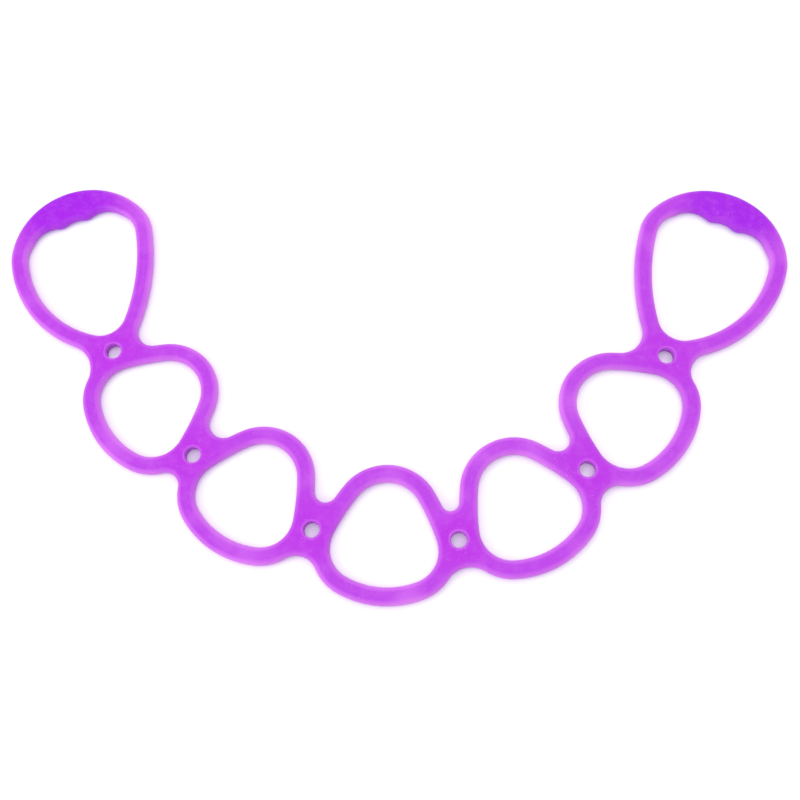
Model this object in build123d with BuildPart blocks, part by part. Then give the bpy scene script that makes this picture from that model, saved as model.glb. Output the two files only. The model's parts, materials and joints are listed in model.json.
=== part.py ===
from build123d import *

import os
from math import cos, radians, sin, sqrt

# Stretching strap: one soft moulding, five finger loops in a row between two hand
# grips. Every opening is ringed by a band of rubber, and a web with a small round
# hole joins each ring to the next. The strap lies on its flat underside in an arc,
# +Z up, the origin below the middle of its outline. Rubber bends and stretches
# everywhere, so the moulding is divided where it gives most: beside each hole, where
# the strap folds and swings, and across each ring, where it stretches.

# Driving dimensions: millimetres and degrees.

# The band, the same all round.
thickness = 9.0
band_width = 14.0
upright_strip = 1.0  # left between the upper and the lower rounding

# A finger loop's opening, a rounded triangle that points to the inside of the arc.
corner_radius = 25.0
corner_spacing = 33.8  # between the centres of the two corner arcs
corner_drop = 11.0  # from the line of holes out to the corner centres
apex_radius = 28.5
apex_rise = 13.0  # from the line of holes in to the apex centre
base_radius = 65.0
flank_radius = 190.0

# A web and its hole.
hole_radius = 6.3
hole_rounding = 1.2
neck = 8.65  # rubber between the hole and a finger loop's opening
inner_waist = 23.2  # from the hole's centre to the notch inside the arc
outer_waist = 21.6  # the same to the notch outside the arc

# A handle's opening, and the grip across its far end.
handle_neck = 10.7  # rubber between the hole and the handle's opening
throat_radius = 20.0
outer_arm_radius = 85.0  # the arm outside the arc
inner_arm_radius = 170.0  # the straighter one inside it
shoulder_radius = 22.0
shoulder_spacing = 51.0
shoulder_reach = 66.0  # from the throat's centre to the line of shoulder centres
finger_pitch = 22.5
finger_radius = 20.0
finger_depth = 2.3
finger_reach = 6.0  # from the line of shoulder centres to the finger centres
grip_depth = 27.0  # from the middle finger groove to the back of the grip

# How the strap lies: the middle loop's heading, and the bend at each web.
middle_heading = -3.5
left_bends = (27.7, 19.1, 18.2)  # from the middle loop out to the left handle
right_bends = (32.7, 25.5, 10.2)

# Values that follow.
edge_rounding = (thickness - upright_strip) / 2
half_pitch = corner_spacing / 2 + corner_radius + neck + hole_radius
throat_reach = hole_radius + handle_neck + throat_radius
shoulder_line = throat_reach + shoulder_reach
far = shoulder_spacing / 2 + shoulder_radius + 2 * band_width
web_top = inner_waist + neck / 2  # past the rubber beside the inner notch
over = upright_strip  # cutting shapes run past the flat faces by this
same = 1e-6  # lengths this near are the same


def unit(degrees_round):
    """The direction at an angle from +X towards +Y."""
    return Vector(cos(radians(degrees_round)), sin(radians(degrees_round)))


# A frame is an origin, a direction along the strap and a direction into the arc.


def place(frame, along, inward):
    """A point of the ground plane, given in a frame."""
    origin, along_axis, inward_axis = frame
    return origin + along_axis * along + inward_axis * inward


# An arc is its circle's centre and radius, and +1 where rubber fills the circle's
# side of it or -1 where the circle is empty.


def handed(frame):
    """+1 where inward is to the left of along, -1 where it is to the right."""
    return 1 if frame[1].cross(frame[2]).Z > 0 else -1


def reach(first, second, side):
    """Where two circles, each a centre and a radius, cross on one side."""
    (start, start_radius), (end, end_radius) = first, second
    way = end - start
    gap = way.length
    along = (start_radius**2 - end_radius**2 + gap**2) / (2 * gap)
    across = sqrt(start_radius**2 - along**2) * side
    step = way / gap
    return start + step * along + Vector(-step.Y, step.X) * across


def notch_arc(first, second, hole_centre, waist):
    """The empty circle outside two arcs that touches both and is waist from the hole."""
    rows = []
    for centre, radius, _ in (first, second):
        gap = centre - hole_centre
        rows.append((2 * gap.X, 2 * gap.Y, gap.dot(gap) - radius**2 + waist**2, 2 * (radius - waist)))
    (a, b, c, d), (e, f, g, h) = rows
    scale = a * f - b * e
    base = Vector((c * f - b * g) / scale, (a * g - c * e) / scale)
    slope = Vector((b * h - d * f) / scale, (d * e - a * h) / scale)
    square = slope.dot(slope) - 1
    linear = base.dot(slope) - waist
    constant = base.dot(base) - waist**2
    root = sqrt(linear**2 - square * constant)
    for radius in ((-linear - root) / square, (-linear + root) / square):
        offset = base + slope * radius
        if radius > 0 > (second[0] - first[0]).cross(offset).Z:
            return (hole_centre + offset, radius, -1)


def touch(first, second):
    """The point where two touching arcs meet."""
    (start, start_radius, start_side), (end, end_radius, end_side) = first, second
    if start_side == end_side and start_radius < end_radius:
        start, start_radius, end = end, end_radius, start
    return start + (end - start).normalized() * start_radius


def tangent_loop(arcs):
    """Draws a closed outline of arcs, each touching the next."""
    count = len(arcs)
    for number, arc in enumerate(arcs):
        start = touch(arcs[number - 1], arc)
        end = touch(arc, arcs[(number + 1) % count])
        centre, radius, _ = arc
        outward = (start + end) / 2 - centre
        ThreePointArc(start, centre + outward.normalized() * radius, end)


def triangle_arcs(frame, grow):
    """A finger loop's arcs, at its opening or grown outwards by a band."""
    apex = place(frame, 0, apex_rise)
    base = place(frame, 0, sqrt((base_radius - corner_radius) ** 2 - corner_spacing**2 / 4) - corner_drop)
    corners = [place(frame, x, -corner_drop) for x in (-corner_spacing / 2, corner_spacing / 2)]
    flanks = [
        reach((corner, flank_radius - corner_radius), (apex, flank_radius - apex_radius), turn)
        for corner, turn in zip(corners, (-1, 1))
    ]
    return {
        "outside": [
            (corners[0], corner_radius + grow, 1),
            (base, base_radius + grow, 1),
            (corners[1], corner_radius + grow, 1),
        ],
        "inside": [
            (flanks[1], flank_radius + grow, 1),
            (apex, apex_radius + grow, 1),
            (flanks[0], flank_radius + grow, 1),
        ],
    }


def handle_arms(frame, grow):
    """A handle's long arc and shoulder arc on the outside, and the two on the inside."""
    throat = place(frame, throat_reach, 0)
    pairs = []
    for side, arm_radius in ((-1, outer_arm_radius), (1, inner_arm_radius)):
        shoulder = place(frame, shoulder_line, side * shoulder_spacing / 2)
        ends = (throat, arm_radius - throat_radius), (shoulder, arm_radius - shoulder_radius)
        arm = reach(*ends, -side * handed(frame))
        pairs.append([(arm, arm_radius + grow, 1), (shoulder, shoulder_radius + grow, 1)])
    return pairs


def grip_back(frame):
    """The arc along the back of the grip."""
    top = shoulder_line + finger_reach + finger_radius + grip_depth
    shoulder = shoulder_radius + band_width
    rise = top - shoulder_line
    radius = (rise**2 + shoulder_spacing**2 / 4 - shoulder**2) / (2 * (rise - shoulder))
    return (place(frame, top - radius, 0), radius, 1)


def finger_arcs(frame, shoulders):
    """The grooves and ridges along the grip, between the two shoulders."""
    ridge_radius = (finger_pitch**2 / 4 + finger_depth**2) / (2 * finger_depth) - finger_radius
    groove_line = shoulder_line + finger_reach
    ridge_rise = sqrt((finger_radius + ridge_radius) ** 2 - finger_pitch**2 / 4)
    grooves = [(place(frame, groove_line, n * finger_pitch), finger_radius, 1) for n in (-1, 0, 1)]
    ridges = [
        (place(frame, groove_line + ridge_rise, n * finger_pitch), ridge_radius, -1) for n in (-0.5, 0.5)
    ]
    ends = [
        reach(
            (groove[0], finger_radius + ridge_radius),
            (shoulder[0], shoulder_radius + ridge_radius),
            side * handed(frame),
        )
        for groove, shoulder, side in ((grooves[0], shoulders[0], 1), (grooves[2], shoulders[1], -1))
    ]
    return [
        (ends[0], ridge_radius, -1),
        grooves[0],
        ridges[0],
        grooves[1],
        ridges[1],
        grooves[2],
        (ends[1], ridge_radius, -1),
    ]


# The strap's line: headings of the five loops, and the six hole centres.
headings = [middle_heading]
for bend in left_bends[:2]:
    headings.insert(0, headings[0] - bend)
for bend in right_bends[:2]:
    headings.append(headings[-1] + bend)

hole_centres = [unit(headings[2]) * -half_pitch, unit(headings[2]) * half_pitch]
for heading in headings[1::-1]:
    hole_centres.insert(0, hole_centres[0] - unit(heading) * 2 * half_pitch)
for heading in headings[3:]:
    hole_centres.append(hole_centres[-1] + unit(heading) * 2 * half_pitch)

left_reach = unit(headings[0] - left_bends[2] + 180)
right_reach = unit(headings[4] + right_bends[2])
left_inward = Vector(left_reach.Y, -left_reach.X)
right_inward = Vector(-right_reach.Y, right_reach.X)


def strap_frames():
    """Frames of the loops and of the two handles, as the hole centres stand."""
    loops = []
    for number, heading in enumerate(headings):
        centre = (hole_centres[number] + hole_centres[number + 1]) / 2
        loops.append((centre, unit(heading), unit(heading + 90)))
    left = (hole_centres[0], left_reach, left_inward)
    right = (hole_centres[-1], right_reach, right_inward)
    return loops, left, right


def joined(chains, hole_centres, waist):
    """Chains of arcs in one row, a notch between each and the next."""
    arcs = list(chains[0])
    for hole_centre, chain in zip(hole_centres, chains[1:]):
        arcs.append(notch_arc(arcs[-1], chain[0], hole_centre, waist))
        arcs += chain
    return arcs


def strap_outline():
    """The whole outline, once round from the left handle along the outside."""
    loops, left, right = strap_frames()
    rings = [triangle_arcs(frame, band_width) for frame in loops]
    left_outside, left_inside = handle_arms(left, band_width)
    right_outside, right_inside = handle_arms(right, band_width)
    outside = [left_outside[::-1], *(ring["outside"] for ring in rings), right_outside]
    inside = [right_inside[::-1], *(ring["inside"] for ring in rings[::-1]), left_inside]
    return [
        *joined(outside, hole_centres, outer_waist),
        grip_back(right),
        *joined(inside, hole_centres[::-1], inner_waist),
        grip_back(left),
    ]


# The origin goes below the middle of the outline's box.
with BuildSketch() as whole:
    with BuildLine():
        tangent_loop(strap_outline())
    make_face()
shift = whole.sketch.bounding_box().center()
hole_centres = [centre - shift for centre in hole_centres]
loop_frames, left_frame, right_frame = strap_frames()
outline_arcs = strap_outline()


def handle_opening(frame):
    """A handle's opening, once round."""
    outside, inside = handle_arms(frame, 0)
    throat = (place(frame, throat_reach, 0), throat_radius, 1)
    fingers = finger_arcs(frame, (outside[1], inside[1]))
    return [throat, outside[0], outside[1], *fingers, inside[1], inside[0]]


with BuildPart() as moulding:
    with BuildSketch():
        with BuildLine():
            tangent_loop(outline_arcs)
        make_face()
        for loop_frame in loop_frames:
            arcs = triangle_arcs(loop_frame, 0)
            with BuildLine():
                tangent_loop(arcs["outside"] + arcs["inside"])
            make_face(mode=Mode.SUBTRACT)
        for handle_frame in (left_frame, right_frame):
            with BuildLine():
                tangent_loop(handle_opening(handle_frame))
            make_face(mode=Mode.SUBTRACT)
    extrude(amount=thickness)
    fillet(moulding.faces().filter_by(Axis.Z).edges(), radius=edge_rounding)
    with Locations(*hole_centres):
        Hole(hole_radius)
    hole_edges = moulding.edges().filter_by(GeomType.CIRCLE).filter_by(lambda edge: edge.is_closed)
    fillet(hole_edges, radius=hole_rounding)


def notch_direction(hole_centre):
    """The way from a hole to the deepest point of the outer notch beside it."""
    for centre, radius, side in outline_arcs:
        way = centre - hole_centre
        if side < 0 and abs(way.length - radius - outer_waist) < same:
            return way.normalized()


def cut_out(corners, name):
    """The part of the moulding that stands inside an outline, as a piece of its own."""
    with BuildPart() as piece:
        with BuildSketch(Plane.XY.offset(-over)):
            with BuildLine():
                Polyline(*corners, close=True)
            make_face()
        extrude(amount=thickness + 2 * over)
        add(moulding.part, mode=Mode.INTERSECT)
    piece.part.label = name
    export_step(piece.part, f"parts/{name}.step")


def ring_half(end, neck_line, stretch_line, name, notch, outward):
    """Half a ring, from the stretch line back to the faces that meet a web."""
    cut_out(
        [
            place(end, stretch_line, -far),
            place(end, stretch_line, far),
            place(end, neck_line, far),
            place(end, neck_line, 0),
            notch,
            notch + outward * far,
        ],
        name,
    )


def web(left_end, left_line, right_end, right_line, notch, name):
    """The rubber round one hole, between the rings on either side of it."""
    cut_out(
        [
            notch,
            place(left_end, left_line, 0),
            place(left_end, left_line, web_top),
            place(right_end, right_line, web_top),
            place(right_end, right_line, 0),
        ],
        name,
    )


def grip(frame, name):
    """The far end of a handle, beyond its stretch line."""
    cut_out(
        [
            place(frame, shoulder_line, -far),
            place(frame, shoulder_line, far),
            place(frame, shoulder_line + far, far),
            place(frame, shoulder_line + far, -far),
        ],
        name,
    )


# What lies to the left and to the right of each hole: a frame that starts at the hole,
# the line where it meets the web, the line where it stretches, and its name.
ring_line = hole_radius + neck / 2
handle_line = hole_radius + handle_neck / 2
left_sides = [(left_frame, handle_line, shoulder_line, "left_arms")]
right_sides = []
for number, (_, along, inward) in enumerate(loop_frames, 1):
    left_hole, right_hole = hole_centres[number - 1 : number + 1]
    right_sides.append(((left_hole, along, inward), ring_line, half_pitch, f"loop_{number}_left"))
    left_sides.append(((right_hole, along * -1, inward), ring_line, half_pitch, f"loop_{number}_right"))
right_sides.append((right_frame, handle_line, shoulder_line, "right_arms"))

os.makedirs("parts", exist_ok=True)
for number, (hole_centre, left, right) in enumerate(zip(hole_centres, left_sides, right_sides), 1):
    outward = notch_direction(hole_centre)
    notch = hole_centre + outward * outer_waist
    web(*left[:2], *right[:2], notch, f"web_{number}")
    ring_half(*left, notch, outward)
    ring_half(*right, notch, outward)
grip(left_frame, "left_grip")
grip(right_frame, "right_grip")
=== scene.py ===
# %% [markdown]
# # A stretching strap, made in Blender
#
# The real object is one soft rubber moulding for stretching exercises. Five finger
# loops stand in a row between two hand grips, and a web with a small round hole joins
# each ring to the next. There is nothing else on it: no buckle, no stitching, no
# second material. So all of its looks come from one outline, one rounded section that
# runs round every opening, and a satin violet rubber whose colour changes along it.
#
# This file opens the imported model, which says where everything is and how it moves,
# and builds a finer skin of the same size round it.

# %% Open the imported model
import json
from math import ceil, cos, pi, sin, sqrt

import bpy
import numpy as np
from mathutils import Matrix, Vector
from mathutils.geometry import delaunay_2d_cdt


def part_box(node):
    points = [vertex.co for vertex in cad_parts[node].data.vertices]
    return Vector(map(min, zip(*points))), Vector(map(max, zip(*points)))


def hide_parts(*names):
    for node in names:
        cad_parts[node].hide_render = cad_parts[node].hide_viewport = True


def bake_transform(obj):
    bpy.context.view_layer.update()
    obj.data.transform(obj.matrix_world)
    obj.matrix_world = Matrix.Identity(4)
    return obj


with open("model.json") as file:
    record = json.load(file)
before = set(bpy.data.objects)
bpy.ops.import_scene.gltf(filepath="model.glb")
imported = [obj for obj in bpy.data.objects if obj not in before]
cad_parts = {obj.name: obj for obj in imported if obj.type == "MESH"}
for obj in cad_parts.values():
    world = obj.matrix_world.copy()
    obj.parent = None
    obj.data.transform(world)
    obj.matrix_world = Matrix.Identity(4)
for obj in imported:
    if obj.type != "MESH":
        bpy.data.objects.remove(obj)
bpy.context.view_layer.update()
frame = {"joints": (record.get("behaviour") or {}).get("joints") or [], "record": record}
joints = {joint["name"]: joint for joint in frame["joints"]}

# %% [markdown]
# ## Where the rings and the handles are
#
# Everything on the strap is placed from its six small holes. A ring's middle lies
# halfway between two holes, and the line through them gives its direction. A handle
# starts at the first or the last hole, and its stretch joint points along it. All of
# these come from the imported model, so the skin can't drift away from the solids.
#
# A link is a ring or a handle: its name, its origin, its direction along the strap
# and its direction into the arc that the strap lies in.

# %% Links of the strap
mounts = frame["record"]["mounts"]
bores = sorted((m for m in mounts if m["kind"] == "bore"), key=lambda m: m["name"])
holes = [Vector(bore["pos_m"][:2]) for bore in bores]
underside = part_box("web_1")[0].z
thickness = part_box("web_1")[1].z - underside


def turned_left(way):
    """A direction of the ground plane, a quarter turn anticlockwise."""
    return Vector((-way.y, way.x))


left_away = Vector(joints["left_handle_stretch"]["axis"][:2])
right_away = Vector(joints["right_handle_stretch"]["axis"][:2])
rings = []
for number, (left_hole, right_hole) in enumerate(zip(holes, holes[1:]), 1):
    along = (right_hole - left_hole).normalized()
    rings.append((f"ring_{number}", (left_hole + right_hole) / 2, along, turned_left(along)))
left_handle = ("left_handle", holes[0], left_away, -turned_left(left_away))
right_handle = ("right_handle", holes[-1], right_away, turned_left(right_away))
links = [left_handle, *rings, right_handle]
half_pitch = (holes[1] - holes[0]).length / 2


def place(link, along, inward):
    """A point of the ground plane, given in a link's own directions."""
    return link[1] + link[2] * along + link[3] * inward


print(len(links), "links, holes", round(2000 * half_pitch, 1), "mm apart")
print("the rubber is", round(1000 * thickness, 1), "mm thick")

# %% [markdown]
# ## The outline as a chain of arcs
#
# A mould for a part like this is cut with arcs that run smoothly into each other, so
# the outline is a chain of tangent arcs too. It could be drawn as one free curve
# through many points, but then no size would mean anything. Arcs keep the sizes that
# matter: how wide an opening is, how wide the band, how deep a finger groove.
#
# An arc here is its circle's centre, its radius, and +1 where the chain goes round the
# outside of the circle or -1 where it dips round an empty one.

# %% Sizes of the openings and bands, in metres
MM = 0.001
band_width = 14 * MM
corner_radius = 25 * MM
corner_spacing = 33.8 * MM
corner_drop = 11 * MM
apex_radius = 28.5 * MM
apex_rise = 13 * MM
base_radius = 65 * MM
flank_radius = 190 * MM
hole_radius = bores[0]["dims"]["r_mm"] * MM
hole_rounding = 1.2 * MM
inner_waist = 23.2 * MM
outer_waist = 21.6 * MM
throat_reach = 37 * MM
throat_radius = 20 * MM
outer_arm_radius = 85 * MM
inner_arm_radius = 170 * MM
shoulder_radius = 22 * MM
shoulder_spacing = 51 * MM
shoulder_line = 103 * MM
finger_pitch = 22.5 * MM
finger_radius = 20 * MM
finger_depth = 2.3 * MM
finger_reach = 6 * MM
grip_depth = 27 * MM
print("band", round(band_width / MM, 1), "mm wide")
print("hole", round(2 * hole_radius / MM, 1), "mm across")

# %% Helpers that join arcs


def crossing(first, second, side):
    """Where two circles, each a centre and a radius, cross on one side."""
    (start, start_radius), (end, end_radius) = first, second
    way = end - start
    along = (start_radius**2 - end_radius**2 + way.length_squared) / (2 * way.length)
    across = sqrt(start_radius**2 - along**2) * side
    return start + way.normalized() * along + turned_left(way.normalized()) * across


def notch_arc(first, second, hole, waist):
    """The empty circle that touches two arcs and comes as near as waist to the hole."""
    rows = []
    for centre, radius, _ in (first, second):
        gap = centre - hole
        reach = gap.length_squared - radius**2 + waist**2
        rows.append((2 * gap.x, 2 * gap.y, reach, 2 * (radius - waist)))
    (a, b, c, d), (e, f, g, h) = rows
    scale = a * f - b * e
    base = Vector((c * f - b * g, a * g - c * e)) / scale
    slope = Vector((b * h - d * f, d * e - a * h)) / scale
    square = slope.length_squared - 1
    half_slope = base.dot(slope) - waist
    root = sqrt(half_slope**2 - square * (base.length_squared - waist**2))
    for radius in ((-half_slope - root) / square, (-half_slope + root) / square):
        offset = base + slope * radius
        if radius > 0 > (second[0] - first[0]).cross(offset):
            return (hole + offset, radius, -1)


def touch(first, second):
    """The point where two touching arcs meet."""
    (start, start_radius, start_side), (end, end_radius, end_side) = first, second
    if start_side == end_side and start_radius < end_radius:
        start, start_radius, end = end, end_radius, start
    return start + (end - start).normalized() * start_radius


print("a notch dips to", round(inner_waist / MM, 1), "mm from a hole inside the arc")

# %% [markdown]
# ## The arcs of a ring and of a handle
#
# A finger loop opens as a rounded triangle that points into the arc: three corners
# and three long, barely bent sides. Grown by the width of the band, the same arcs
# give the ring's outline. A handle opens from a narrow throat into two arms, and
# ends in a thick grip with three grooves for the fingers.

# %% Arcs of a finger loop


def ring_arcs(ring, grow):
    """The arcs on the outside and on the inside of the strap's bend."""
    apex = place(ring, 0, apex_rise)
    base_rise = sqrt((base_radius - corner_radius) ** 2 - corner_spacing**2 / 4)
    base = place(ring, 0, base_rise - corner_drop)
    corners = [place(ring, x, -corner_drop) for x in (-corner_spacing / 2, corner_spacing / 2)]
    left_flank, right_flank = [
        crossing((corner, flank_radius - corner_radius), (apex, flank_radius - apex_radius), side)
        for corner, side in zip(corners, (-1, 1))
    ]
    outside = [
        (corners[0], corner_radius + grow, 1),
        (base, base_radius + grow, 1),
        (corners[1], corner_radius + grow, 1),
    ]
    inside = [
        (right_flank, flank_radius + grow, 1),
        (apex, apex_radius + grow, 1),
        (left_flank, flank_radius + grow, 1),
    ]
    return outside, inside


print("a finger loop has", sum(map(len, ring_arcs(rings[0], 0))), "arcs")

# %% Arcs of a handle


def handedness(link):
    """+1 where inward is to the left of along, -1 where it is to the right."""
    return 1 if link[2].cross(link[3]) > 0 else -1


def arm_arcs(handle, grow):
    """A long arc and a shoulder on the outside of the bend, and the two on the inside."""
    throat = place(handle, throat_reach, 0)
    pairs = []
    for side, arm_radius in ((-1, outer_arm_radius), (1, inner_arm_radius)):
        shoulder = place(handle, shoulder_line, side * shoulder_spacing / 2)
        ends = (throat, arm_radius - throat_radius), (shoulder, arm_radius - shoulder_radius)
        arm = crossing(*ends, -side * handedness(handle))
        pairs.append([(arm, arm_radius + grow, 1), (shoulder, shoulder_radius + grow, 1)])
    return pairs


def grip_back(handle):
    """The arc along the back of the grip."""
    top = shoulder_line + finger_reach + finger_radius + grip_depth
    shoulder = shoulder_radius + band_width
    rise = top - shoulder_line
    radius = (rise**2 + shoulder_spacing**2 / 4 - shoulder**2) / (2 * (rise - shoulder))
    return (place(handle, top - radius, 0), radius, 1)


def finger_arcs(handle, shoulders):
    """The grooves and ridges along the grip, from one shoulder to the other."""
    ridge_radius = (finger_pitch**2 / 4 + finger_depth**2) / (2 * finger_depth) - finger_radius
    reach = finger_radius + ridge_radius
    groove_line = shoulder_line + finger_reach
    ridge_line = groove_line + sqrt(reach**2 - finger_pitch**2 / 4)
    grooves = [(place(handle, groove_line, n * finger_pitch), finger_radius, 1) for n in (-1, 0, 1)]
    ridges = [(place(handle, ridge_line, n * finger_pitch), ridge_radius, -1) for n in (-0.5, 0.5)]
    end_ridges = [
        (
            crossing((groove[0], reach), (shoulder[0], shoulder_radius + ridge_radius), side),
            ridge_radius,
            -1,
        )
        for groove, shoulder, side in (
            (grooves[0], shoulders[0], handedness(handle)),
            (grooves[2], shoulders[1], -handedness(handle)),
        )
    ]
    return [end_ridges[0], grooves[0], ridges[0], grooves[1], ridges[1], grooves[2], end_ridges[1]]


def handle_opening(handle):
    """A handle's opening, once round from its throat."""
    outside, inside = arm_arcs(handle, 0)
    throat = (place(handle, throat_reach, 0), throat_radius, 1)
    return [throat, *outside, *finger_arcs(handle, (outside[1], inside[1])), *inside[::-1]]


print("a handle's opening has", len(handle_opening(left_handle)), "arcs")

# %% The whole outline


def with_notches(chains, passed_holes, waist):
    """Chains of arcs in one row, a notch between each and the next."""
    arcs = list(chains[0])
    for hole, chain in zip(passed_holes, chains[1:]):
        arcs.append(notch_arc(arcs[-1], chain[0], hole, waist))
        arcs += chain
    return arcs


grown = [ring_arcs(ring, band_width) for ring in rings]
left_outside, left_inside = arm_arcs(left_handle, band_width)
right_outside, right_inside = arm_arcs(right_handle, band_width)
outer_chains = [left_outside[::-1], *(outside for outside, _ in grown), right_outside]
inner_chains = [right_inside[::-1], *(inside for _, inside in grown[::-1]), left_inside]
outline = [
    *with_notches(outer_chains, holes, outer_waist),
    grip_back(right_handle),
    *with_notches(inner_chains, holes[::-1], inner_waist),
    grip_back(left_handle),
]
openings = [handle_opening(left_handle), handle_opening(right_handle)]
openings += [sum(ring_arcs(ring, 0), []) for ring in rings]
print("the outline has", len(outline), "arcs, and", len(openings), "openings lie in it")

# %% [markdown]
# ## The planform
#
# Seen from above, the strap is a flat shape with rows of points beside every edge.
# The rows matter more than anything else here, because light slides along the rounded
# edge, and an edge made of even quads shines evenly. So each edge gets rows at chosen
# depths into the rubber: one on the crest of the parting line that the mould leaves
# halfway up, one at its foot, and the rest round the quarter circle. Points in the same
# row are the same arc with another radius, so every row stays exact. Only the level
# strip in the middle, where no light bends, is filled with plain triangles.

# %% Rows of points beside an edge
sample_step = 1.5 * MM
edge_rounding = 4 * MM
seam_proud = 0.16 * MM
seam_foot = 0.02 * MM  # how far behind the parting line's edge the rounding starts
hole_samples = 48
edge_steps = 6  # rows round a quarter circle
hole_steps = 3


def section_depths(rounding, steps):
    """Depths of the rows of points, from the parting line to the end of the rounding."""
    quarter = [rounding * (1 - cos(pi / 2 * step / steps)) for step in range(1, steps + 1)]
    return [-seam_proud, 0.0, seam_foot, *quarter]


def chain_samples(arcs, into):
    """Samples of a chain: centre, way out from it, radius and which way the rubber is."""
    samples = []
    for number, (centre, radius, side) in enumerate(arcs):
        start = touch(arcs[number - 1], (centre, radius, side)) - centre
        end = touch((centre, radius, side), arcs[(number + 1) % len(arcs)]) - centre
        turn = -start.angle_signed(end)
        count = max(2, ceil(abs(turn) * radius / sample_step))
        for step in range(count):
            angle = turn * step / count
            way = Matrix.Rotation(angle, 2) @ start.normalized()
            samples.append((centre, way, radius, side * into))
    return samples


def hole_chain(hole):
    """The same for a round hole."""
    angles = [2 * pi * step / hole_samples for step in range(hole_samples)]
    return [(hole, Vector((cos(angle), sin(angle))), hole_radius, 1) for angle in angles]


edges = [(chain_samples(outline, -1), edge_rounding, edge_steps)]
edges += [(chain_samples(arcs, 1), edge_rounding, edge_steps) for arcs in openings]
edges += [(hole_chain(hole), hole_rounding, hole_steps) for hole in holes]
print(sum(len(samples) for samples, _, _ in edges), "samples round", len(edges), "edges")

# %% Points and quads of the rounded edges
points, depth_of, rounding_of, inward_of, faces, inner_rows = [], [], [], [], [], []
for samples, rounding, steps in edges:
    rows = []
    for depth in section_depths(rounding, steps):
        rows.append(range(len(points), len(points) + len(samples)))
        for centre, way, radius, into in samples:
            points.append(centre + way * (radius + into * depth))
            depth_of.append(depth)
            rounding_of.append(rounding)
            inward_of.append((way.x * into, way.y * into, 0))
    for outer, inner in zip(rows, rows[1:]):
        for number in range(len(samples)):
            faces.append((outer[number - 1], outer[number], inner[number], inner[number - 1]))
    inner_rows.append(rows[-1])
print(len(points), "points and", len(faces), "quads")

# %% Triangles of the level strip
fill_step = 2.6 * MM
clear_share = 0.6  # of a step, between the fill and the rows


def inside(spots, polygon):
    """Which spots lie inside a polygon, by counting its sides to their right."""
    x, y = spots[:, :1], spots[:, 1:]
    start, end = polygon, np.roll(polygon, -1, 0)
    straddles = (start[:, 1] > y) != (end[:, 1] > y)
    rise = np.where(end[:, 1] == start[:, 1], 1, end[:, 1] - start[:, 1])
    crosses = start[:, 0] + (y - start[:, 1]) / rise * (end[:, 0] - start[:, 0]) > x
    return (straddles & crosses).sum(1) % 2 == 1


def on_level(spots):
    """Which spots lie on the level strip between the rounded edges."""
    borders = [np.array([points[index] for index in row]) for row in inner_rows]
    found = inside(spots, borders[0])
    for border in borders[1:]:
        found &= ~inside(spots, border)
    return found


low_corner = np.min(points, 0)
counts = np.ceil((np.max(points, 0) - low_corner) / fill_step).astype(int) + 1
columns, lines = np.meshgrid(np.arange(counts[0]), np.arange(counts[1]))
steps_along = columns + lines % 2 / 2
steps_up = lines * sqrt(3) / 2 + 0.5
grid = np.stack([steps_along, steps_up], -1).reshape(-1, 2) * fill_step + low_corner
grid = grid[on_level(grid)]
rims = np.array([points[index] for row in inner_rows for index in row])
clear_square = (clear_share * fill_step) ** 2
clear = [np.min(((rims - spot) ** 2).sum(1)) > clear_square for spot in grid]
grid = grid[clear]
print(len(grid), "points on the level strip")

# %% Join the strip to the rows
same_spot = 1e-5  # millimetres

rim_numbers = [index for row in inner_rows for index in row]
first_new = len(points)
numbers = rim_numbers + list(range(first_new, first_new + len(grid)))
points += [Vector(spot) for spot in grid]
depth_of += [2 * edge_rounding] * len(grid)
rounding_of += [edge_rounding] * len(grid)
inward_of += [(1, 0, 0)] * len(grid)
position = {index: number for number, index in enumerate(rim_numbers)}
sides = [
    (position[a], position[b]) for row in inner_rows for a, b in zip(row, [*row[1:], row[0]])
]
spots = [points[index] / MM for index in numbers]
corners, _, triangles, origins, _, _ = delaunay_2d_cdt(spots, sides, [], 0, same_spot)
middles = np.array(
    [sum((corners[c] for c in triangle), Vector((0, 0))) / 3 * MM for triangle in triangles]
)
for triangle, keep in zip(triangles, on_level(middles)):
    if keep:
        faces.append(tuple(numbers[origins[c][0]] for c in triangle))


def counterclockwise(face):
    """The face, turned so that it looks up."""
    around = [points[index] for index in face]
    area = sum(a.cross(b) for a, b in zip(around, around[1:] + around[:1]))
    return face if area > 0 else face[::-1]


faces = [counterclockwise(face) for face in faces]
print(len(points), "points and", len(faces), "faces in the planform")

# %% [markdown]
# ## Sums with sockets
#
# Node trees hold sums, and a sum is easier to read as Python than as a row of boxes.
# One small class wraps a node's output. Adding, subtracting or multiplying it makes
# the Math node, and any other node comes from one method that first takes the node's
# settings and then what goes into its sockets. It serves the geometry and the rubber.

# %% A tree that is written as sums


class Tree:
    """A node tree that makes nodes and links them."""

    def __init__(self, tree):
        self.tree = tree

    def add(self, kind, settings=None, inputs=None, output=0):
        """A new node's output: settings first, then the values or links of its sockets."""
        node = self.tree.nodes.new(kind)
        for name, value in (settings or {}).items():
            setattr(node, name, value)
        for name, value in (inputs or {}).items():
            if isinstance(value, Wire):
                self.tree.links.new(value.socket, node.inputs[name])
            else:
                node.inputs[name].default_value = value
        return Wire(self, node.outputs[output] if len(node.outputs) else None)


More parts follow.
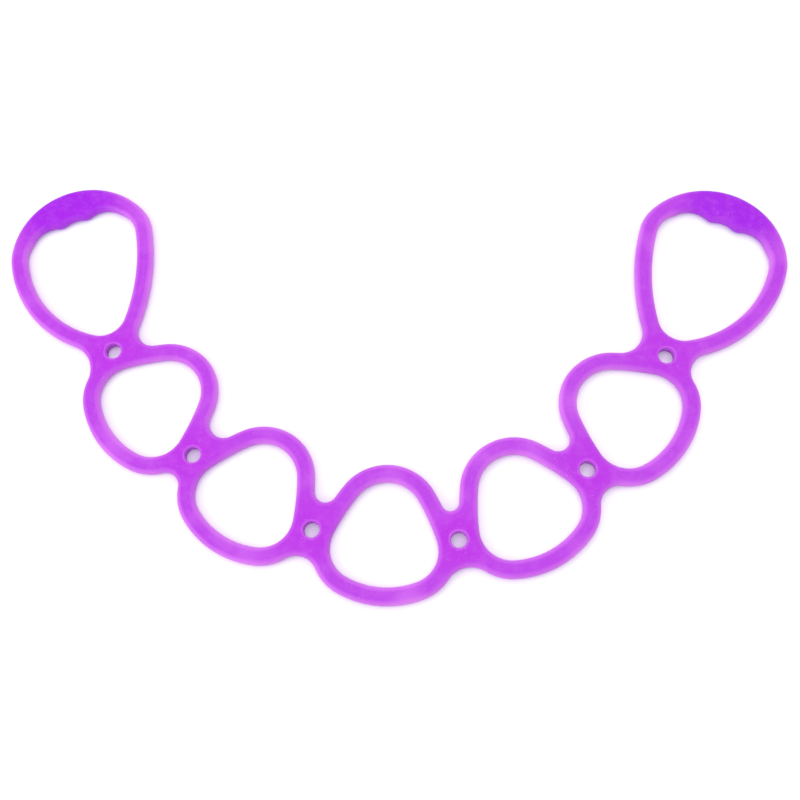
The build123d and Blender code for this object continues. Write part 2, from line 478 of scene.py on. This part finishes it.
class Wire:
    """A node's output that does sums."""

    def __init__(self, tree, socket):
        self.tree = tree
        self.socket = socket

    def math(self, operation, first, second=0.0):
        """A Math node on two values, of which either may be a plain number."""
        return self.tree.add("ShaderNodeMath", {"operation": operation}, {0: first, 1: second})

    def __add__(self, other):
        return self.math("ADD", self, other)

    def __sub__(self, other):
        return self.math("SUBTRACT", self, other)

    def __rsub__(self, other):
        return self.math("SUBTRACT", other, self)

    def __mul__(self, other):
        return self.math("MULTIPLY", self, other)

    def __truediv__(self, other):
        return self.math("DIVIDE", self, other)

    def __gt__(self, other):
        return self.math("GREATER_THAN", self, other)

    def lesser(self, other):
        return self.math("MINIMUM", self, other)

    def greater(self, other):
        return self.math("MAXIMUM", self, other)

    def root(self):
        return self.math("SQRT", self)

    __radd__ = __add__
    __rmul__ = __mul__


print("sums ready")

# %% [markdown]
# ## The rubber
#
# The strap is moulded from a soft rubber with a satin skin. It is deep violet where the rubber is
# thick, at the grips, and a little deeper in the webs. Along the rounded edges it is painted
# lighter and pinker: a painted sheen that stands in for light getting some way into the rubber and
# glancing off the flanks. A picture could carry all that, but it would stretch. Here the colour
# follows four values that each point of the skin carries: how deep it lies behind the edge, how
# rounded that edge is, and how much it belongs to a grip or to a web.
#
# Up close the skin has the fine grain of the mould, faint flow marks from the filling,
# a few dust specks, and it is rubbed smoother where fingers go.

# %% Colours


def as_light(part):
    """One part of a colour, given as on a screen from 0 to 255, as light from 0 to 1."""
    return part / 255 / 12.92 if part < 11 else ((part / 255 + 0.055) / 1.055) ** 2.4


def linear(*colour):
    """A colour as the light it stands for, fully opaque."""
    return tuple(as_light(part) for part in colour) + (1,)


arm_violet = linear(168, 52, 204)
web_violet = linear(168, 30, 203)
grip_violet = linear(147, 0, 206)
# the pale pink of the painted sheen along the rounded edges, also used for the flow marks and for
# random pale patches on the bands
sheen_and_flow_pink = linear(206, 116, 222)
dust_white = linear(226, 206, 236)
print("five colours, from", arm_violet, "on the bands to", grip_violet, "on the grips")

# %% Helpers for materials


def mixed(tree, factor, first, second):
    """A Mix node on two colours."""
    settings = {"data_type": "RGBA", "clamp_factor": True}
    return tree.add("ShaderNodeMix", settings, {"Factor": factor, 6: first, 7: second}, 2)


def attribute(tree, name):
    """A value that the skin's points carry."""
    return tree.add("ShaderNodeAttribute", {"attribute_name": name}, output="Fac")


def noise(tree, place, scale, detail, roughness=0.5):
    """Soft noise of a given fineness, from 0 to 1."""
    inputs = {"Vector": place, "Scale": scale, "Detail": detail, "Roughness": roughness}
    return tree.add("ShaderNodeTexNoise", {"noise_dimensions": "3D"}, inputs)


print("mixing, carried values and noise are ready")

# %% Build the rubber
cloud_fineness, flow_fineness, rubbed_fineness = 22, 160, 60
speck_fineness, grain_fineness = 900, 2600
speck_cutoff = 0.745
satin = 0.40
refraction = 1.46
mirror_level = 0.25
relief_strength = 0.5
relief_height = 0.00006


def moulded_rubber(name):
    """Satin rubber whose colour follows what the points carry."""
    material = bpy.data.materials.new(name)
    material.use_nodes = True
    tree = Tree(material.node_tree)
    material.node_tree.nodes.clear()
    spot = tree.add("ShaderNodeTexCoord", output="Object")
    depth, grip, web = (attribute(tree, key) for key in ("edge", "grip", "web"))

    cloud = noise(tree, spot, cloud_fineness, 2)
    flow = noise(tree, spot, flow_fineness, 3, 0.6)
    grain = noise(tree, spot, grain_fineness, 2)
    rubbed = noise(tree, spot, rubbed_fineness, 4, 0.65)
    speck = (noise(tree, spot, speck_fineness, 1) > speck_cutoff) * (cloud > 0.42)

    thin = 1 - (depth / edge_rounding).lesser(1.0).greater(0.0)
    # painted sheen: painted light that makes the rounded edges paler and pinker, standing in for
    # light getting into the rubber and glancing off the flanks
    painted_edge_sheen = thin * (1 - 0.8 * grip) * (1 - 0.5 * web) * (0.2 + 1.3 * cloud)
    colour = mixed(tree, web * (0.75 + 0.5 * (cloud - 0.5)), arm_violet, web_violet)
    colour = mixed(tree, grip * (0.9 + 0.2 * (cloud - 0.5)), colour, grip_violet)
    colour = mixed(tree, painted_edge_sheen, colour, sheen_and_flow_pink)
    # pale pink patches at random across the bands, in the colour of the painted sheen
    patch = (1.6 * (cloud - 0.5)).greater(0.0) * (1 - grip) * (1 - web)
    colour = mixed(tree, patch, colour, sheen_and_flow_pink)
    colour = mixed(tree, 0.5 * (flow - 0.45).greater(0.0), colour, sheen_and_flow_pink)
    colour = mixed(tree, 0.35 * speck, colour, dust_white)

    polish = grip * (rubbed > 0.56) * 0.05
    uneven = 0.10 * (flow - 0.5) + 0.10 * (cloud - 0.5)
    dull = satin + uneven + 0.05 * thin + 0.2 * speck - polish
    height = grain * 0.5 + flow * 1.2 + rubbed * 0.6 + speck * 0.8
    relief = {"Strength": relief_strength, "Distance": relief_height, "Height": height}
    bump = tree.add("ShaderNodeBump", None, relief)
    surface = {
        "Base Color": colour,
        "Roughness": dull,
        "Normal": bump,
        "IOR": refraction,
        "Specular IOR Level": mirror_level,
    }
    shader = tree.add("ShaderNodeBsdfPrincipled", None, surface)
    tree.add("ShaderNodeOutputMaterial", None, {"Surface": shader})
    return material


rubber = moulded_rubber("violet_rubber")
print(rubber.name, "has", len(rubber.node_tree.nodes), "nodes")

# %% [markdown]
# ## The moulded section
#
# The strap's shape follows one rule: a point stands as high above the parting plane as
# its depth behind the edge allows, round a quarter circle and then level. That is what
# Geometry Nodes are good at. The tree below takes any part of the planform, raises a
# copy of it by the rule, drops another copy by the same rule, walls the sides, and
# welds the two halves along the parting line, just as the two halves of a mould meet.
# Its named inputs are the thickness, the height of the underside, how far the parting
# line's seam stands out, half the height of the seam's foot, and the rubber.

# %% Build the section tree
weld_distance = 0.000002


def section_tree():
    """The tree that turns a flat piece of the planform into moulded rubber."""
    group = bpy.data.node_groups.new("moulded_section", "GeometryNodeTree")
    for name, kind in (
        ("Planform", "NodeSocketGeometry"),
        ("Thickness", "NodeSocketFloat"),
        ("Underside", "NodeSocketFloat"),
        ("Seam proud", "NodeSocketFloat"),
        ("Seam foot", "NodeSocketFloat"),
        ("Rubber", "NodeSocketMaterial"),
    ):
        group.interface.new_socket(name, in_out="INPUT", socket_type=kind)
    group.interface.new_socket("Moulding", in_out="OUTPUT", socket_type="NodeSocketGeometry")
    tree = Tree(group)
    given = group.nodes.new("NodeGroupInput")
    sockets = list(given.outputs)[:6]
    planform, thick, under, proud, foot, material = (Wire(tree, socket) for socket in sockets)

    def carried(name):
        """A value that the planform's points carry."""
        settings = {"data_type": "FLOAT"}
        return tree.add("GeometryNodeInputNamedAttribute", settings, {"Name": name})

    half = thick * 0.5
    depth = carried("edge")
    rounding = carried("rounding")
    short = rounding - depth.lesser(rounding)
    rounded = half - rounding + (rounding * rounding - short * short).greater(0.0).root()
    seam = foot * (1 + depth / proud)
    behind = depth > 0.0
    height = behind * rounded + (1 - behind) * seam

    up = tree.add("FunctionNodeInputVector", {"vector": (0, 0, 1)})
    walled = tree.add(
        "GeometryNodeExtrudeMesh",
        {"mode": "FACES"},
        {"Mesh": planform, "Offset": up, "Offset Scale": thick, "Individual": False},
    )
    turned = tree.add("GeometryNodeFlipFaces", None, {"Mesh": planform})
    both = tree.add("GeometryNodeJoinGeometry", None, {"Geometry": walled})
    group.links.new(turned.socket, both.socket.node.inputs[0])

    spot = tree.add("ShaderNodeSeparateXYZ", None, {0: tree.add("GeometryNodeInputPosition")})
    x, y, z = (Wire(tree, socket) for socket in spot.socket.node.outputs)
    level = under + half + ((z > half) * 2 - 1) * height
    raised = tree.add("ShaderNodeCombineXYZ", None, {0: x, 1: y, 2: level})
    shaped = tree.add("GeometryNodeSetPosition", None, {"Geometry": both, "Position": raised})
    close = {"Geometry": shaped, "Distance": weld_distance}
    welded = tree.add("GeometryNodeMergeByDistance", None, close)
    soft = {"Geometry": welded, "Shade Smooth": True}
    smooth = tree.add("GeometryNodeSetShadeSmooth", None, soft)
    real = tree.add("GeometryNodeRealizeInstances", None, {"Geometry": smooth})
    coat = {"Geometry": real, "Material": material}
    painted = tree.add("GeometryNodeSetMaterial", None, coat)
    result = group.nodes.new("NodeGroupOutput")
    group.links.new(painted.socket, result.inputs[0])
    return group


moulded_section = section_tree()
print(moulded_section.name, "has", len(moulded_section.nodes), "nodes")

# %% [markdown]
# ## Which piece a face belongs to
#
# The strap bends at each web, folds there, and stretches across each ring, so the skin is parted
# where nothing bends, between those zones. Each web gives two pieces, one on either side of its
# hole, each ring gives a middle piece, and each handle gives one with its grip. A cut runs where
# both neighbours would follow the same solid, so it would not open when the strap moves.

# %% Find each face's piece
web_reach = 34.5 * MM  # from a hole to the cut in a ring
handle_cut = 50 * MM  # the same in a handle
webs = []
for hole, left_link, right_link in zip(holes, links, links[1:]):
    left_way = left_link[2] if left_link is left_handle else -left_link[2]
    into_arc = (left_way + right_link[2]).normalized()
    webs.append((hole, -turned_left(into_arc)))


def link_of(spot):
    """The number of the link that a spot lies on: the nearest between its two webs."""
    found = []
    for number, link in enumerate(links):
        past_left = number == 0 or (spot - webs[number - 1][0]).dot(webs[number - 1][1]) > 0
        past_right = number == len(webs) or (spot - webs[number][0]).dot(webs[number][1]) <= 0
        if past_left and past_right:
            middle = link[1] + link[2] * (0 if link in rings else shoulder_line)
            found.append(((spot - middle).length, number))
    return min(found)[1]


def piece_of(spot):
    """The name of the piece that a spot belongs to."""
    number = link_of(spot)
    name, origin, along, _ = links[number]
    reach = (spot - origin).dot(along)
    if links[number] in rings:
        if abs(reach) < half_pitch - web_reach:
            return f"{name}_middle"
        return f"web_{number}_right" if reach < 0 else f"web_{number + 1}_left"
    if reach > handle_cut:
        return name
    return "web_1_left" if number == 0 else f"web_{len(webs)}_right"


piece_faces = {}
for face in faces:
    spot = sum((points[index] for index in face), Vector((0, 0))) / len(face)
    piece_faces.setdefault(piece_of(spot), []).append(face)
print(len(piece_faces), "pieces:", ", ".join(sorted(piece_faces)))

# %% How much a point belongs to a grip or a web
grip_from, grip_full = 84 * MM, 124 * MM  # along a handle
grip_across, grip_gone = 22 * MM, 52 * MM  # either way from its middle
web_full, web_gone = 10 * MM, 40 * MM  # from a hole


def smoothstep(low, high, value):
    """0 below low, 1 above high, and a soft change between them."""
    share = min(max((value - low) / (high - low), 0), 1)
    return share * share * (3 - 2 * share)


def grip_share(spot):
    """1 in the thick of a grip, fading out along the arms and round the shoulders."""
    link = links[link_of(spot)]
    if link in rings:
        return 0
    along, across = (spot - link[1]).dot(link[2]), abs((spot - link[1]).dot(link[3]))
    middle = 1 - smoothstep(grip_across, grip_gone, across)
    return smoothstep(grip_from, grip_full, along) * middle


def web_share(spot):
    """1 beside a hole, fading out into the rings."""
    return 1 - smoothstep(web_full, web_gone, min((spot - hole).length for hole in holes))


grip_of = [grip_share(spot) for spot in points]
web_of = [web_share(spot) for spot in points]
print(sum(value > 0.5 for value in grip_of), "points on the grips")
print(sum(value > 0.5 for value in web_of), "points on the webs")

# %% [markdown]
# ## Making the pieces
#
# Each piece is its own part of the planform with the section tree on it. The result is taken as a
# plain mesh and the tree is removed, because a piece that is to bend between two solids has to be a
# finished mesh. The shading is set from the same rule as the shape: straight out at the parting
# line and straight up on the level strip, so the light runs over a cut between two pieces as if it
# weren't there.

# %% One piece of skin
seam_half_height = 1.6 * seam_proud


def flat_piece(name):
    """The piece's part of the planform, carrying its values."""
    used = sorted({index for face in piece_faces[name] for index in face})
    number = {index: order for order, index in enumerate(used)}
    mesh = bpy.data.meshes.new(name)
    mesh.from_pydata(
        [(*points[index], 0) for index in used],
        [],
        [[number[index] for index in face] for face in piece_faces[name]],
    )
    for key, kind, values in (
        ("edge", "FLOAT", depth_of),
        ("rounding", "FLOAT", rounding_of),
        ("grip", "FLOAT", grip_of),
        ("web", "FLOAT", web_of),
        ("inward", "FLOAT_VECTOR", inward_of),
    ):
        target = mesh.attributes.new(key, kind, "POINT")
        flat = np.array([values[index] for index in used], np.float32).ravel()
        target.data.foreach_set("vector" if kind == "FLOAT_VECTOR" else "value", flat)
    piece = bpy.data.objects.new(name, mesh)
    bpy.context.scene.collection.objects.link(piece)
    return piece


def moulded(piece):
    """Puts the section tree on a piece and keeps the result as its mesh."""
    modifier = piece.modifiers.new("section", "NODES")
    modifier.node_group = moulded_section
    inputs = {
        "Thickness": thickness,
        "Underside": underside,
        "Seam proud": seam_proud,
        "Seam foot": seam_half_height,
        "Rubber": rubber,
    }
    for socket in moulded_section.interface.items_tree:
        if socket.name in inputs:
            modifier[socket.identifier] = inputs[socket.name]
    graph = bpy.context.evaluated_depsgraph_get()
    made = bpy.data.meshes.new_from_object(
        piece.evaluated_get(graph), preserve_all_data_layers=True, depsgraph=graph
    )
    piece.modifiers.remove(modifier)
    piece.data = made
    made.name = piece.name
    return piece


print("helpers ready")

# %% Shading by the section's own rule
seam_tilt = 0.35  # how far normals lean up or down along the seam's foot
upright = 0.02  # a face whose normal leans no more than this stands upright
past_seam = 2 * seam_foot


def carried_by(mesh, key, width):
    """A value of each of the mesh's points, as rows of numbers."""
    values = np.empty(len(mesh.vertices) * width, np.float32)
    mesh.attributes[key].data.foreach_get("vector" if width == 3 else "value", values)
    return values.reshape(-1, width)


def shade(piece):
    """Sets the normals of a piece: the section's on its skin, level ones on its cuts."""
    mesh = piece.data
    depth = carried_by(mesh, "edge", 1)
    rounding = carried_by(mesh, "rounding", 1)
    inward = carried_by(mesh, "inward", 3)
    heights = np.array([vertex.co.z for vertex in mesh.vertices]).reshape(-1, 1)
    side = np.sign(np.round(heights - underside - thickness / 2, 7))
    out = np.clip((rounding - depth) / rounding, 0, 1)
    rise = np.where(depth == 0, seam_tilt, np.sqrt(1 - out**2))
    normals = -inward * out + np.array([[0, 0, 1]]) * rise * side
    normals /= np.linalg.norm(normals, axis=1, keepdims=True)
    corner_normals = []
    cuts = 0
    for polygon in mesh.polygons:
        deepest = max(depth[index][0] for index in polygon.vertices)
        is_cut = abs(polygon.normal.z) < upright and deepest > past_seam
        cuts += is_cut
        for index in polygon.vertices:
            corner_normals.append(tuple(polygon.normal) if is_cut else tuple(normals[index]))
    mesh.normals_split_custom_set(corner_normals)
    mesh.attributes.remove(mesh.attributes["inward"])
    return cuts


def open_edges(mesh):
    """How many edges don't have exactly two faces."""
    uses = {}
    for polygon in mesh.polygons:
        for key in polygon.edge_keys:
            uses[key] = uses.get(key, 0) + 1
    return sum(count != 2 for count in uses.values())


pieces = {}
for name in sorted(piece_faces):
    piece = moulded(flat_piece(name))
    cuts = shade(piece)
    pieces[name] = piece
    print(name, len(piece.data.polygons), "faces,", cuts, "on its cuts")
    print("    open edges:", open_edges(piece.data))

# %% [markdown]
# ## Placing the pieces over the solids
#
# Each piece crosses exactly one joint: a web's piece lies between the web's solid and the ring
# beside it, a ring's middle between its two halves, and a handle's piece between its arms and its
# grip. Here each piece's placement is baked into its mesh and the solids listed for it are hidden;
# no bending is set up. In the real rubber the neck beside the hole is the weakest spot, so bending
# there starts just beside the hole and is over within two centimetres; the spans below are worked
# out for that but not used.

# %% Place each piece and hide its solids
fold_start, fold_end = 1 * MM, 20 * MM
middle_stretch = 22 * MM
arm_start, arm_end = 60 * MM, shoulder_line
halfway_up = underside + thickness / 2


def bend(name, nodes, slot, solids, start, end):
    """Bakes a piece's placement into its mesh and hides the given solids."""
    piece = pieces[name]
    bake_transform(piece)
    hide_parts(*nodes)


for number, (hole, rightward) in enumerate(webs, 1):
    web_solid = f"web_{number}"
    left_solid = "left_arms" if number == 1 else f"loop_{number - 1}_right"
    right_solid = "right_arms" if number == len(webs) else f"loop_{number}_left"
    for side, solid, way in (("left", left_solid, -rightward), ("right", right_solid, rightward)):
        span = (hole + way * fold_start, hole + way * fold_end)
        bend(f"{web_solid}_{side}", [web_solid], "web_rubber", (web_solid, solid), *span)
for number, ring in enumerate(rings, 1):
    halves = (f"loop_{number}_left", f"loop_{number}_right")
    span = (place(ring, -middle_stretch, 0), place(ring, middle_stretch, 0))
    bend(f"ring_{number}_middle", halves, "band_rubber", halves, *span)
for side, handle in (("left", left_handle), ("right", right_handle)):
    parts = (f"{side}_arms", f"{side}_grip")
    span = (place(handle, arm_start, 0), place(handle, arm_end, 0))
    bend(f"{side}_handle", parts, "grip_rubber", parts, *span)

# %% [markdown]
# ## Floor, light and camera
#
# The strap lies flat on a plain white table. An even, pale sky does most of the lighting
# and keeps the table white. A wide soft lamp overhead and one from the left give the
# rounded edges some shape, and a small one beyond the grips adds a little gloss. The
# camera stands in front of the strap and looks down steeply.

# %% The floor
floor_size = 6.0
floor_mesh = bpy.data.meshes.new("floor")
side = floor_size / 2
floor_corners = [(-side, -side, 0), (side, -side, 0), (side, side, 0), (-side, side, 0)]
floor_mesh.from_pydata(floor_corners, [], [(0, 1, 2, 3)])
floor = bpy.data.objects.new("floor", floor_mesh)
bpy.context.scene.collection.objects.link(floor)
paper = bpy.data.materials.new("white_paper")
paper.use_nodes = True
paper_tree = Tree(paper.node_tree)
paper.node_tree.nodes.clear()
paper_spot = paper_tree.add("ShaderNodeTexCoord", output="Object")
paper_tone = noise(paper_tree, paper_spot, 3, 2)
bright_paper, dim_paper = (0.93, 0.93, 0.93, 1), (0.90, 0.90, 0.905, 1)
paper_surface = {
    "Base Color": mixed(paper_tree, paper_tone, bright_paper, dim_paper),
    "Roughness": 0.75 + 0.1 * paper_tone,
    "Specular IOR Level": 0.1,
}
paper_shader = paper_tree.add("ShaderNodeBsdfPrincipled", None, paper_surface)
paper_tree.add("ShaderNodeOutputMaterial", None, {"Surface": paper_shader})
floor_mesh.materials.append(paper)
print("floor", floor_size, "m wide")

# %% Lamps and sky
sky_colour = (0.96, 0.97, 1.0, 1)
sky_strength = 0.98


def lamp(name, spot, size, power):
    """Adds a square soft lamp that looks at the origin."""
    light = bpy.data.lights.new(name, "AREA")
    light.shape = "SQUARE"
    light.size = size
    light.energy = power
    holder = bpy.data.objects.new(name, light)
    bpy.context.scene.collection.objects.link(holder)
    turn = Vector(spot).to_track_quat("Z", "Y").to_matrix().to_4x4()
    holder.matrix_world = Matrix.Translation(spot) @ turn


lamp("overhead", (0.2, 0.3, 2.2), 2.4, 15)
lamp("left_window", (-1.6, -0.5, 1.1), 1.0, 11)
lamp("glint", (0.15, 1.3, 1.6), 0.10, 3)
world = bpy.data.worlds.new("studio")
world.use_nodes = True
sky = world.node_tree.nodes["Background"]
sky.inputs["Color"].default_value = sky_colour
sky.inputs["Strength"].default_value = sky_strength
bpy.context.scene.world = world
bpy.context.scene.view_settings.view_transform = "Standard"
print("three lamps and a sky of strength", sky_strength)

# %% Camera
camera_back = Vector((0.0546, -0.2954, 0.9538)).normalized()
camera_right = Vector((0.99851, 0.01616, -0.05219)).normalized()
camera_distance = 0.8203
holes_middle = sum(holes, Vector((0, 0))) / len(holes)
aim_offset = Vector((10.17, 40.78)) * MM  # from the middle of the six holes
camera_aim = Vector((*(holes_middle + aim_offset), halfway_up))
camera_data = bpy.data.cameras.new("camera")
camera_data.lens = 46.14
camera_data.sensor_width = 36
camera = bpy.data.objects.new("camera", camera_data)
bpy.context.scene.collection.objects.link(camera)
camera_up = camera_back.cross(camera_right).normalized()
turn = Matrix((camera_up.cross(camera_back), camera_up, camera_back)).transposed()
camera.matrix_world = Matrix.Translation(camera_aim + camera_back * camera_distance) @ turn.to_4x4()
bpy.context.scene.camera = camera
print("camera", round(camera_distance, 3), "m from the strap")
